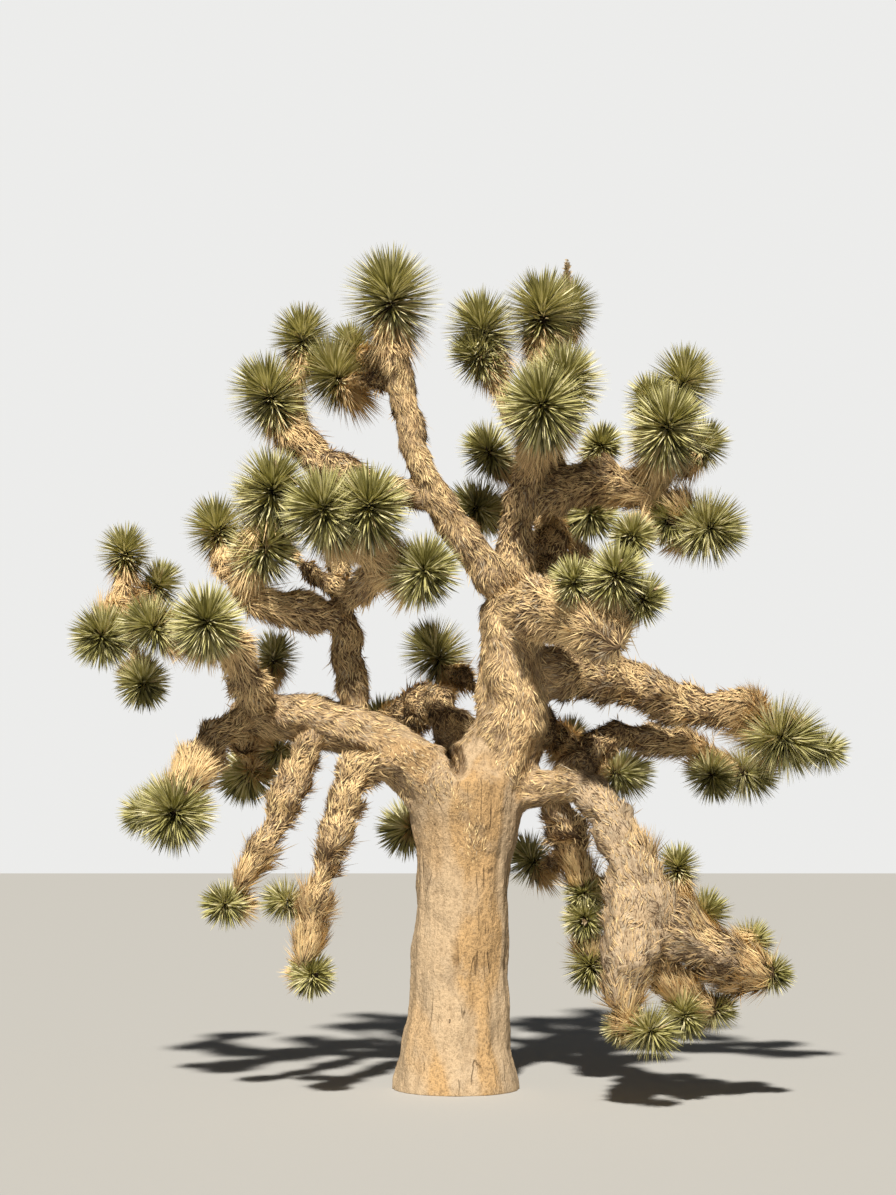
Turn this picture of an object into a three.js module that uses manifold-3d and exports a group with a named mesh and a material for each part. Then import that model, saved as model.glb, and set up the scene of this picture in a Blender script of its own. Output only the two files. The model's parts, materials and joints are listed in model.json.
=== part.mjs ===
// A joshua tree: a stout flared trunk that forks low, two spreading boughs with many crooked arms,
// and heads of dagger leaves at the tips. Millimetres, +Z up, origin at the middle of the flat cut
// under the trunk, +X to the right and -Y towards the front.
import * as THREE from "three";
import { mergeVertices } from "three/addons/utils/BufferGeometryUtils.js";
import Module from "manifold-3d";

const wasm = await Module();
wasm.setup();

const GAP = 0.35; // how far each solid stands clear of the ones it meets
const MERGE_WITHIN = 0.01; // corners closer than this are one corner
const UP = new THREE.Vector3(0, 1, 0); // the axis of a turned profile before it is bent

// Trunk: its height to the fork, its waist, the flare at its foot, the swelling under the fork,
// how far it leans to the right by its top, and the shoulder and crown of its rounded end.
const TRUNK = {
  height: 1800,
  waist: 276,
  flare: 108,
  flareLength: 320,
  swell: 70,
  swellFrom: 1250,
  lean: 56,
  shoulder: { radius: 0.72, rise: 0.3 }, // shares of the radius at the fork
  crownRise: 0.4,
};
const TRUNK_SIDES = 12;
const TRUNK_STEP = 225;
const TRUNK_UNEVEN = 0.03;
const TRUNK_SEED = 3;
const BURIED = 40; // cut away again, so that the foot ends flat on the ground

// Limbs: a ring about every LIMB_STEP, a collar at the root and a slight unevenness all along.
const LIMB_SIDES = 6;
const LIMB_STEP = 350;
const LIMB_UNEVEN = 0.05;
const LIMB_LEAST_RINGS = 3;
const COLLAR = 0.22; // of the girth at the root
const TIP_DOME = 0.6; // of the girth at the tip

// Heads of leaves: a shaggy neck of old leaves that widens into an uneven ball.
const HEAD_SIDES = 6;
const HEAD_UNEVEN = 0.07;
const NECK_WIDTH = 1.16; // of the limb that carries it
const CHAIN_NECK = 0.6; // of the head's own radius
const HEAD_LENGTH = 1.1; // from the middle of the ball to its point, of the ball's radius
const HEAD_FULLNESS = 1.04; // makes up for the flats between the corners of a head
const BALL_ANGLES = [-32, 26]; // where the two rings of a ball lie, in degrees of latitude
const HEAD_SEED_STEP = 5;

// Each limb grows from a point a fraction along another, bends through its via points to its tip,
// and tapers from the first girth radius to the second.
const LIMBS = [
  { name: "left_bough", from: "trunk", at: 0.88, via: [[-360, -100, 1980], [-660, -150, 2110]],
    tip: [-1270, 0, 2220], girth: [230, 115] },
  { name: "right_bough", from: "trunk", at: 0.9, via: [[320, 0, 2070], [340, 0, 2460]],
    tip: [310, 0, 2890], girth: [275, 185] },
  { name: "left_riser", from: "left_bough", at: 0.5, via: [[-650, -100, 2480]],
    tip: [-680, -150, 2840], girth: [125, 105] },
  { name: "left_cross_arm", from: "left_riser", at: 0.95, via: [[-950, -250, 2790]],
    tip: [-1210, -400, 2850], girth: [125, 105] },
  { name: "left_inner_arm", from: "left_riser", at: 0.92, via: [[-500, -350, 2990]],
    tip: [-330, -500, 3030], girth: [100, 80] },
  { name: "left_outer_arm", from: "left_bough", at: 0.93, via: [[-1230, -300, 2410]],
    tip: [-1340, -600, 2590], girth: [110, 90] },
  { name: "far_left_arm", from: "left_outer_arm", at: 0.92, via: [[-1670, -350, 2680]],
    tip: [-2040, 50, 2860], girth: [75, 80] },
  { name: "left_low_arm", from: "left_bough", at: 0.95, via: [[-1450, -200, 2010]],
    tip: [-1590, -380, 1760], girth: [105, 100] },
  { name: "left_hanging_arm", from: "left_bough", at: 0.7,
    via: [[-940, -300, 1810], [-1070, -420, 1510], [-1230, -500, 1350]],
    tip: [-1240, -520, 1170], girth: [105, 75] },
  { name: "inner_hanging_arm", from: "left_bough", at: 0.36,
    via: [[-670, -450, 1710], [-690, -580, 1390], [-800, -600, 1110]],
    tip: [-850, -600, 810], girth: [115, 75] },
  { name: "upper_left_bough", from: "right_bough", at: 0.93,
    via: [[80, -150, 3200], [-190, -200, 3590], [-270, -220, 3930]],
    tip: [-400, -250, 4420], girth: [125, 85] },
  { name: "upper_left_arm", from: "upper_left_bough", at: 0.46, via: [[-630, -50, 3610]],
    tip: [-970, 100, 3890], girth: [105, 100] },
  { name: "upper_right_bough", from: "right_bough", at: 0.95, via: [[380, 0, 3310]],
    tip: [480, -50, 3770], girth: [140, 110] },
  { name: "upper_right_arm", from: "upper_right_bough", at: 0.62, via: [[790, 50, 3630]],
    tip: [1130, 0, 3550], girth: [135, 140] },
  { name: "front_arm", from: "right_bough", at: 0.95, via: [[640, -600, 2740]],
    tip: [840, -1000, 2540], girth: [180, 160] },
  { name: "right_arm", from: "right_bough", at: 0.6, via: [[850, 100, 2510], [1200, 80, 2290]],
    tip: [1730, 0, 2250], girth: [195, 110] },
  { name: "low_right_bough", from: "trunk", at: 0.93, via: [[580, -100, 1770]],
    tip: [840, -300, 1740], girth: [135, 105] },
  { name: "right_low_riser", from: "low_right_bough", at: 0.7, via: [[980, 400, 2080]],
    tip: [1470, 550, 2050], girth: [105, 95] },
  { name: "right_hanging_arm", from: "low_right_bough", at: 0.88,
    via: [[900, -500, 1490], [990, -700, 1230]],
    tip: [1040, -800, 980], girth: [90, 205] },
  { name: "right_hanging_fork", from: "right_hanging_arm", at: 0.93, via: [[1360, -750, 880]],
    tip: [1630, -700, 690], girth: [160, 140] },
  { name: "right_hanging_tip", from: "right_hanging_arm", at: 0.9, via: [[930, -950, 780]],
    tip: [910, -1000, 560], girth: [150, 110] },
  { name: "right_inner_arm", from: "low_right_bough", at: 0.55, via: [[670, 0, 1480]],
    tip: [760, 100, 1210], girth: [100, 100] },
  { name: "rear_low_bough", from: "right_bough", at: 0.12, via: [[-70, 400, 2260]],
    tip: [-440, 1050, 2210], girth: [145, 110] },
  { name: "rear_right_bough", from: "right_bough", at: 0.45, via: [[490, 400, 2170]],
    tip: [670, 650, 2060], girth: [130, 100] },
  { name: "rear_upper_bough", from: "right_bough", at: 0.93, via: [[570, 500, 3270]],
    tip: [690, 1050, 3740], girth: [135, 110] },
];

// Each mass is one or more heads of leaves, given by the middle of the ball and its radius. Their necks
// start a fraction along the limb that carries them or, in a chain, each at the head before it.
const MASSES = [
  { name: "crown_left_head", on: "upper_left_bough", at: 1,
    heads: [[-400, -250, 4710, 270]] },
  { name: "upper_left_heads", on: "upper_left_arm", at: 1,
    heads: [[-970, 350, 4600, 185], [-1150, 100, 4160, 240], [-1190, 850, 4300, 165]] },
  { name: "upper_left_side_heads", on: "upper_left_bough", at: 0.8,
    heads: [[-760, 300, 4340, 240], [-660, 500, 4580, 145]] },
  { name: "left_upper_heads", on: "left_cross_arm", at: 1,
    heads: [[-1110, -500, 3130, 210], [-1070, -550, 3460, 225], [-1430, -150, 3300, 180]] },
  { name: "left_front_heads", on: "left_riser", at: 0.97,
    heads: [[-760, -800, 3300, 230], [-500, -800, 3310, 230]] },
  { name: "left_back_heads", on: "left_riser", at: 0.95,
    heads: [[-760, 700, 3470, 180], [-1230, 550, 3560, 190]] },
  { name: "left_inner_head", on: "left_inner_arm", at: 1,
    heads: [[-190, -600, 2990, 200]] },
  { name: "left_outer_heads", on: "left_outer_arm", at: 1,
    heads: [[-1410, -750, 2670, 205], [-1750, -550, 2670, 180]] },
  { name: "left_side_head", on: "left_outer_arm", at: 0.4,
    heads: [[-1120, 250, 2570, 145]] },
  { name: "far_left_heads", on: "far_left_arm", at: 1,
    heads: [[-2040, 200, 3210, 155], [-1860, 400, 3040, 145],
      [-2110, -100, 2670, 185], [-1870, -100, 2380, 150]] },
  { name: "left_low_heads", on: "left_low_arm", at: 1,
    heads: [[-1620, -420, 1610, 220], [-1800, -300, 1620, 170]] },
  { name: "left_stub_heads", on: "left_bough", at: 0.88,
    heads: [[-1290, 350, 1850, 180], [-1060, 150, 1980, 120]] },
  { name: "left_hanging_head", on: "left_hanging_arm", at: 1,
    heads: [[-1320, -520, 1090, 125]] },
  { name: "inner_hanging_side_head", on: "inner_hanging_arm", at: 0.68,
    heads: [[-980, -500, 1110, 125]] },
  { name: "inner_hanging_head", on: "inner_hanging_arm", at: 1,
    heads: [[-810, -600, 700, 120]] },
  { name: "rear_left_head", on: "right_bough", at: 0.58,
    heads: [[-130, 1000, 2660, 210]] },
  { name: "rear_low_tip_head", on: "rear_low_bough", at: 1,
    heads: [[-560, 1350, 2100, 185]] },
  { name: "rear_low_heads", on: "rear_low_bough", at: 0.2,
    heads: [[-320, 1100, 1520, 180], [0, 1250, 1310, 190]] },
  { name: "crown_right_heads", on: "upper_right_bough", at: 0.92,
    heads: [[170, -100, 4530, 220], [130, -100, 4350, 190]] },
  { name: "crown_front_heads", on: "upper_right_bough", at: 0.98,
    heads: [[490, -550, 3950, 255], [630, -450, 4110, 230]] },
  { name: "crown_right_back_heads", on: "upper_right_bough", at: 1,
    heads: [[530, 100, 4690, 240], [710, 400, 4800, 185]] },
  { name: "rear_upper_left_heads", on: "rear_upper_bough", at: 0.85,
    heads: [[220, 800, 3950, 180], [140, 750, 3570, 185], [670, 1150, 4400, 180]] },
  { name: "rear_upper_right_heads", on: "rear_upper_bough", at: 1,
    heads: [[860, 650, 3530, 185], [920, 500, 3930, 135], [950, 1100, 3010, 190]] },
  { name: "right_top_heads", on: "upper_right_arm", at: 0.9,
    heads: [[1250, -250, 3880, 240], [1400, 100, 4250, 205],
      [1180, -50, 4090, 175], [1540, 250, 3890, 150]] },
  { name: "right_end_heads", on: "upper_right_arm", at: 1,
    heads: [[1280, -50, 3370, 205], [1510, -100, 3320, 215],
      [1050, -200, 3250, 135], [1550, 750, 3460, 175]] },
  { name: "front_heads", on: "front_arm", at: 0.7,
    heads: [[870, -1050, 2900, 180], [650, -950, 2880, 140], [1030, -950, 2780, 135]] },
  { name: "right_arm_heads", on: "right_arm", at: 1,
    heads: [[1960, 0, 2070, 240], [2220, 100, 1990, 135], [2080, 600, 2070, 175]] },
  { name: "right_low_heads", on: "right_low_riser", at: 1,
    heads: [[1600, 550, 1850, 155], [1860, 750, 1870, 180]] },
  { name: "rear_right_heads", on: "rear_right_bough", at: 1,
    heads: [[720, 900, 2080, 175], [1070, 950, 1880, 195], [400, 1350, 2410, 185]] },
  { name: "right_inner_head", on: "right_inner_arm", at: 0.7,
    heads: [[470, 800, 1330, 160]] },
  { name: "right_inner_tip_heads", on: "right_inner_arm", at: 1,
    heads: [[770, 50, 990, 125], [800, 100, 700, 145], [1120, 600, 1170, 170]] },
  { name: "right_hanging_side_heads", on: "right_hanging_fork", at: 0.15, chain: true,
    heads: [[1240, -600, 1300, 120], [1390, -650, 1050, 140],
      [1650, -600, 890, 120], [1760, -700, 720, 105]] },
  { name: "right_hanging_tip_heads", on: "right_hanging_tip", at: 1,
    heads: [[1050, -1000, 430, 145], [890, -900, 440, 105]] },
  { name: "right_hanging_under_heads", on: "right_hanging_tip", at: 0.25, chain: true,
    heads: [[1250, -780, 490, 125], [1450, -650, 510, 110]] },
];

const MATERIALS = {
  trunk: { color: 0xc4a06a, roughness: 0.9, metalness: 0 },
  bough: { color: 0xb38f60, roughness: 0.95, metalness: 0 },
  mass: { color: 0x8f9150, roughness: 0.8, metalness: 0 },
};

// The two waves that make a turned solid uneven: how many lobes go round it, their share of the
// whole, and how far each one shifts with the seed and with the distance along.
const WAVES = [
  { lobes: 2, share: 0.6, seedShift: 1.7, alongShift: 2.1 },
  { lobes: 3, share: 0.4, seedShift: -2.3, alongShift: 3.7 },
];

// A smooth unevenness between -1 and 1 that differs with the seed.
function unevenness(angle, along, seed) {
  return WAVES.reduce((sum, { lobes, share, seedShift, alongShift }) => {
    return sum + share * Math.sin(lobes * angle + seedShift * seed + alongShift * along);
  }, 0);
}

// A closed solid from a geometry, without its normals, its texture places and its flat triangles.
function toSolid(source) {
  source.deleteAttribute("normal");
  source.deleteAttribute("uv");
  const geometry = mergeVertices(source, MERGE_WITHIN);
  const corners = geometry.index.array;
  const triVerts = [];
  for (let i = 0; i < corners.length; i += 3) {
    const [a, b, c] = corners.slice(i, i + 3);
    if (a !== b && b !== c && c !== a) {
      triVerts.push(a, b, c);
    }
  }
  const vertProperties = new Float32Array(geometry.attributes.position.array);
  const mesh = new wasm.Mesh({ numProp: 3, vertProperties, triVerts: new Uint32Array(triVerts) });
  return new wasm.Manifold(mesh);
}

// Turns a profile of [radius, distance along] points into a closed solid, with every corner of it
// moved by bend().
function turnedSolid(profile, sides, bend) {
  const outline = profile.map(([radius, along]) => new THREE.Vector2(radius, along));
  const lathe = new THREE.LatheGeometry(outline, sides);
  const position = lathe.attributes.position;
  const vertex = new THREE.Vector3();
  for (let i = 0; i < position.count; i++) {
    vertex.fromBufferAttribute(position, i);
    bend(vertex);
    position.setXYZ(i, vertex.x, vertex.y, vertex.z);
  }
  return toSolid(lathe);
}

// The middle line of the trunk leans slightly to the right.
const trunkTop = new THREE.Vector3(TRUNK.lean, 0, TRUNK.height);
const trunkLine = new THREE.LineCurve3(new THREE.Vector3(), trunkTop);

function trunkRadius(height) {
  const flare = TRUNK.flare * Math.exp(-height / TRUNK.flareLength);
  const swelling = THREE.MathUtils.smoothstep(height, TRUNK.swellFrom, TRUNK.height);
  return TRUNK.waist + flare + TRUNK.swell * swelling;
}

function trunkSolid(grow) {
  const profile = [[0, -BURIED], [trunkRadius(0) + grow, -BURIED]];
  for (let height = 0; height <= TRUNK.height; height += TRUNK_STEP) {
    profile.push([trunkRadius(height) + grow, height]);
  }
  const top = trunkRadius(TRUNK.height) + grow;
  profile.push([TRUNK.shoulder.radius * top, TRUNK.height + TRUNK.shoulder.rise * top]);
  profile.push([0, TRUNK.height + TRUNK.crownRise * top]);
  const solid = turnedSolid(profile, TRUNK_SIDES, (vertex) => {
    const share = THREE.MathUtils.clamp(vertex.y / TRUNK.height, 0, 1);
    const angle = Math.atan2(vertex.z, vertex.x);
    const bulge = 1 + TRUNK_UNEVEN * unevenness(angle, share, TRUNK_SEED);
    vertex.set(vertex.x * bulge + TRUNK.lean * share, -vertex.z * bulge, vertex.y);
  });
  const size = 4 * trunkRadius(0);
  const ground = new THREE.BoxGeometry(size, size, size).translate(0, 0, -size / 2);
  return solid.subtract(toSolid(ground));
}

// The place and turn of each ring along a curve, carried from ring to ring without twisting.
function framesAlong(curve, steps) {
  const turn = new THREE.Quaternion();
  let heading = UP;
  return Array.from({ length: steps + 1 }, (_, i) => {
    const tangent = curve.getTangentAt(i / steps);
    turn.premultiply(new THREE.Quaternion().setFromUnitVectors(heading, tangent));
    heading = tangent;
    return { centre: curve.getPointAt(i / steps), turn: turn.clone() };
  });
}

function limbSolid(curve, [rootGirth, tipGirth], seed, grow) {
  const length = curve.getLength();
  const steps = Math.max(LIMB_LEAST_RINGS, Math.round(length / LIMB_STEP));
  const frames = framesAlong(curve, steps);
  const profile = [[0, -grow]];
  for (let i = 0; i <= steps; i++) {
    const along = (i * length) / steps;
    const collar = 1 + COLLAR * Math.exp(-along / rootGirth);
    const girth = THREE.MathUtils.lerp(rootGirth, tipGirth, i / steps);
    profile.push([girth * collar + grow, i === 0 ? -grow : along]);
  }
  profile.push([0, length + TIP_DOME * tipGirth + grow]);
  return turnedSolid(profile, LIMB_SIDES, (vertex) => {
    const ring = THREE.MathUtils.clamp(Math.round((vertex.y * steps) / length), 0, steps);
    const bulge = 1 + LIMB_UNEVEN * unevenness(Math.atan2(vertex.z, vertex.x), ring, seed);
    const beyond = vertex.y - (ring * length) / steps;
    vertex.set(vertex.x * bulge, beyond, vertex.z * bulge);
    vertex.applyQuaternion(frames[ring].turn).add(frames[ring].centre);
  });
}

// One head of leaves: a neck from its root, spreading into a ball of the given radius.
function headSolid(root, centre, radius, neck, seed, grow) {
  const reach = root.distanceTo(centre);
  const ball = HEAD_FULLNESS * radius + grow;
  const standsOff = reach > radius; // a head that sits right on its root has no neck
  const profile = standsOff ? [[0, -grow], [neck + grow, -grow]] : [[0, reach - ball]];
  for (const degrees of BALL_ANGLES) {
    const angle = THREE.MathUtils.degToRad(degrees);
    profile.push([ball * Math.cos(angle), reach + ball * Math.sin(angle)]);
  }
  profile.push([0, reach + HEAD_LENGTH * ball]);
  const turn = new THREE.Quaternion().setFromUnitVectors(UP, centre.clone().sub(root).normalize());
  return turnedSolid(profile, HEAD_SIDES, (vertex) => {
    const angle = Math.atan2(vertex.z, vertex.x);
    const bulge = 1 + HEAD_UNEVEN * unevenness(angle, vertex.y / radius, seed);
    vertex.set(vertex.x * bulge, vertex.y, vertex.z * bulge).applyQuaternion(turn).add(root);
  });
}

function massSolid(mass, limb, grow) {
  let whole = null;
  let previous = null;
  mass.heads.forEach(([across, back, up, radius], i) => {
    const centre = new THREE.Vector3(across, back, up);
    const chained = mass.chain && previous;
    const root = chained ? previous : limb.curve.getPointAt(mass.at);
    const limbGirth = THREE.MathUtils.lerp(limb.girth[0], limb.girth[1], mass.at);
    const neck = chained ? CHAIN_NECK * radius : NECK_WIDTH * limbGirth;
    const seed = mass.name.length + HEAD_SEED_STEP * i;
    const head = headSolid(root, centre, radius, neck, seed, grow);
    whole = whole ? whole.add(head) : head;
    previous = centre;
  });
  return whole;
}

// The largest closed piece of a cut solid, as a geometry. Corners joined by triangles share a root.
function largestPiece(solid) {
  const { vertProperties, triVerts } = solid.getMesh();
  const parent = Array.from({ length: vertProperties.length / 3 }, (_, i) => i);
  const rootOf = (i) => {
    while (parent[i] !== i) {
      parent[i] = parent[parent[i]];
      i = parent[i];
    }
    return i;
  };
  for (let t = 0; t < triVerts.length; t += 3) {
    parent[rootOf(triVerts[t + 1])] = rootOf(triVerts[t]);
    parent[rootOf(triVerts[t + 2])] = rootOf(triVerts[t]);
  }
  const corner = (i) => new THREE.Vector3().fromArray(vertProperties, 3 * i);
  const pieces = new Map();
  for (let t = 0; t < triVerts.length; t += 3) {
    const [a, b, c] = triVerts.slice(t, t + 3);
    const piece = pieces.get(rootOf(a)) ?? { volume: 0, triangles: [] };
    piece.volume += corner(a).dot(corner(b).cross(corner(c))) / 6;
    piece.triangles.push(a, b, c);
    pieces.set(rootOf(a), piece);
  }
  const [largest] = [...pieces.values()].sort((one, other) => other.volume - one.volume);
  const geometry = new THREE.BufferGeometry();
  geometry.setAttribute("position", new THREE.BufferAttribute(new Float32Array(vertProperties), 3));
  geometry.setIndex(largest.triangles);
  return geometry;
}

const group = new THREE.Group();
let taken = null;

// Adds one solid, cut clear of everything placed before it.
function place(name, finish, build) {
  const solid = taken ? build(0).subtract(taken) : build(0);
  const mesh = new THREE.Mesh(largestPiece(solid), new THREE.MeshStandardMaterial(MATERIALS[finish]));
  mesh.name = name;
  group.add(mesh);
  taken = taken ? taken.add(build(GAP)) : build(GAP);
}

const limbs = new Map([["trunk", { curve: trunkLine, girth: [TRUNK.waist, TRUNK.waist] }]]);
place("trunk", "trunk", trunkSolid);
LIMBS.forEach(({ name, from, at, via, tip, girth }, i) => {
  const root = limbs.get(from).curve.getPointAt(at);
  const bends = [...via, tip].map((point) => new THREE.Vector3(...point));
  const curve = new THREE.CatmullRomCurve3([root, ...bends]);
  limbs.set(name, { curve, girth });
  place(name, "bough", (grow) => limbSolid(curve, girth, i, grow));
});
MASSES.forEach((mass) => {
  place(mass.name, "mass", (grow) => massSolid(mass, limbs.get(mass.on), grow));
});

export default group;
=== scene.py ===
"""Dresses a joshua tree: bark in relief, a thatch of dead leaves and heads of dagger leaves."""

import json
import math

import bmesh
import bpy
import numpy as np
from mathutils import Matrix, Vector, noise
from mathutils.bvhtree import BVHTree


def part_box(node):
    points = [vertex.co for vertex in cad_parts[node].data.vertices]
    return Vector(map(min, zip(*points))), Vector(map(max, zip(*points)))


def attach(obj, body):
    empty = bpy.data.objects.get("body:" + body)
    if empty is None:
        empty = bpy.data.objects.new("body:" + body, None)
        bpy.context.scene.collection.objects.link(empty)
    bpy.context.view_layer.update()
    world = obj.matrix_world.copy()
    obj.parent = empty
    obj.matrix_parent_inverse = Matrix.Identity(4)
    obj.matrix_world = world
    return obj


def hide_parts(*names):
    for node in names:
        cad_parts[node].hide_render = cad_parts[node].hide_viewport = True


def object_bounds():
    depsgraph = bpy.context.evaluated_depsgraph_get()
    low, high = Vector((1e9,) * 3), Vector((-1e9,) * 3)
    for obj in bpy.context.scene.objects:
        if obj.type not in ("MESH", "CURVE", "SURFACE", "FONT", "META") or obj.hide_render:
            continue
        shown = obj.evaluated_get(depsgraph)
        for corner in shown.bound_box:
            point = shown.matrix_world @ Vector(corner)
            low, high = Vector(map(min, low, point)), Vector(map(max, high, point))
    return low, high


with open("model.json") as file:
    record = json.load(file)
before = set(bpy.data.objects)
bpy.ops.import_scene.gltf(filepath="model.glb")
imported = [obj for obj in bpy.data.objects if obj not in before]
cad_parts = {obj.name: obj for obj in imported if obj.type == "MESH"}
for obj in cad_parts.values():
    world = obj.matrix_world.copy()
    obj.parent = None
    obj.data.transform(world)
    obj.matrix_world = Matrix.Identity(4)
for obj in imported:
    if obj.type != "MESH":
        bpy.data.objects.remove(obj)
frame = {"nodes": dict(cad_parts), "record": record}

bl_info = {
    "name": "Joshua Tree Finisher",
    "version": (1, 0, 0),
    "blender": (4, 5, 0),
    "location": "3D View > Sidebar > Joshua Tree",
    "description": "Grows bark, dead thatch and leaf heads on a joshua tree's frame",
    "category": "Object",
}

CAD_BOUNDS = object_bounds()

SLOTS = {part["node"]: part["material_slot"] for part in frame["record"]["subparts"]}
TRUNK = next(node for node, slot in SLOTS.items() if slot == "trunk_bark")
LIMBS = [node for node, slot in SLOTS.items() if slot == "bough_bark"]
MASSES = [node for node, slot in SLOTS.items() if slot == "leaf_heads"]
FORK = ("left_bough", "right_bough")
LOW_BOUGH = "low_right_bough"
BARE_LIMBS = [*FORK, LOW_BOUGH, "front_arm", "right_arm"]
OLD_BOUGHS = (TRUNK, *FORK, LOW_BOUGH, "upper_left_bough")  # their dead leaves are a flat felt
STUBBLE_LIMBS = ["right_hanging_arm", "right_hanging_fork", "right_hanging_tip"]
SHAG_AHEAD = {  # how much sooner a bough turns shaggy, in metres along the wood
    "right_bough": 0.65,
    "left_bough": 0.25,
    LOW_BOUGH: 0.6,
    "rear_low_bough": 0.8,
    "inner_hanging_arm": 0.45,
}
FLOWERED = "crown_right_back_heads"
SEEDS = {"stems": 7, "thatch": 21, "leaves": 3, "flowers": 9}

STEP = 0.03  # between the stations of a middle line, in metres
MARCH = 0.05  # between the sections that find a middle line
MOST_STATIONS = 80
PITCH = 0.06  # of the grid that finds a limb's deepest point
PROBES = 60  # ways tried there for the way the limb runs
FOOT_FLARE = 1.02  # girth at the ground, of the lowest section's
ROOTED = 0.35  # of the way from the carrying limb's middle line to its bark
TRUNK_OVERRUN = 0.12  # how far the trunk's skin runs down before it is cut off
CUT_HEIGHT = 0.0005  # of that cut, above the ground
SUNK = 0.21  # how far below its bough's own height a root lies in the trunk

LONGEST_EDGE = 1.33  # of a head's radius, between two of its corners
CORNER_AWAY = 1.05  # of a head's radius, from its middle to a corner
FEWEST_FACES = 5  # at a head's corner
BLUNT = 2  # least length of the sum of those faces, each by its angle there
FALLING = -0.3  # the least that each edge falls back there
LEAST_LEAN, MOST_LEAN, LEANS_APART = 0.5, 0.97, 0.22  # how the faces there lean
AGREEING = 0.5  # of the radius, how far apart the middles that the corners point at may lie
RADII_APART = 0.35  # how far the radii that they give may differ
LEAST_AGREEING = 3
MOST_ONE_SIDED = 0.75  # the mean of the ways its corners face: a head shows corners on many sides
TAKEN = 0.6  # of the radius, within which a corner's guess is the same head

STEM_ROOM = 0.25  # how far from its mass a stem may leave the limb
SIGHTS = 8  # steps in which a way is checked for lying in the wood
STEM_PULL, SUN_PULL = 0.35, 0.42  # how far a head turns its stem's way, and to the sun
UPRIGHT, LEANING = 0.3, 0.3  # a head that points up so far leans from the sun by that share only
STEM_WANDER = 0.04  # how far a stem strays from the straight way, of its length
NECK, TIP = -0.6, 0.12  # of the reach, where a stem enters its head and where it ends
LEAST_STEM, MOST_STEM = 0.25, 0.36  # girth of a stem, of its head's reach

EGG = (0.45, 1.05)  # half width and half height of the hollow in a crotch, of its room
DOME = (0.35, 0.6, 0.75)  # how far the rings of a limb's blunt end stand out, in girths
LIMB_SIDES, TWIG_SIDES, STEM_SIDES = 40, 28, 16
FOLDED = np.array([[0, 2, 3], [0, 3, 1], [1, 3, 4], [2, 5, 3], [3, 5, 4]])
FLAT = np.array([[0, 2, 1], [1, 2, 3]])
KEEL = 0.22  # how deep a leaf folds, of its width
BELLY, FOOT = 0.36, 0.7  # how far up a leaf is widest, and how wide its foot is, of its width
STRAWS = ("pale_straw", "straw", "tan_straw", "brown_straw", "grey_straw", "deep_straw")
# the dead leaves' painted shade, for those that lie flat underneath
STRAW_SHADE = STRAWS.index("deep_straw")
GREENS = ("deep_olive", "olive", "yellow_green", "light_green", "pale_green")
GREENS += ("dry_leaf", "dark_leaf")
# the leaves' painted shade, dealt to some of those that point down
LEAF_SHADE = GREENS.index("dark_leaf")
HEAD_SIZE = 0.25  # reach of the head that the counts of leaves are given for
LEAF_STRAY, SKIRT_STRAY = 0.075, 0.07  # how far leaves stand from their even places
SKIRT_FROM, SKIRT_SPREAD, SKIRT_UNEVEN = 122, 40, 7  # degrees that a skirt's leaves turn back
LEAFY = 0.6  # of a head's reach, out to where its leaves stand close
HEART_SHADE = (0.45, 0.7)  # of a head's reach, where the painted shade in its heart begins to end and has ended
WORN_THIN = 0.62  # share of the dead leaves that old hanging wood has lost
STEM_END = 0.022  # radius of the stem's end, where the leaves are rooted
STUBS = 16  # heads with the stub of a flower stalk
STALK_LEAVES, STALK_HUSKS, STUB_HUSKS = 6, 170, 40
STALK_WIDTH, HUSK_WIDTH = 0.024, 0.014
STALK_ROOM = 0.1  # how far the flower stalk stands above the crown
FLOOR_REACH, SIGHT_END = 60, 200  # how far the floor runs, and how far the camera sees

UP = Vector((0, 0, 1))
SUNWARD = Vector((-0.1, -0.65, 0.75)).normalized()  # the way the heads turn
GOLDEN_TURN = math.pi * (3 - math.sqrt(5))
POINT_PLACES = 4  # decimals within which two corners are one


# ---- Reading the frame


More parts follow.
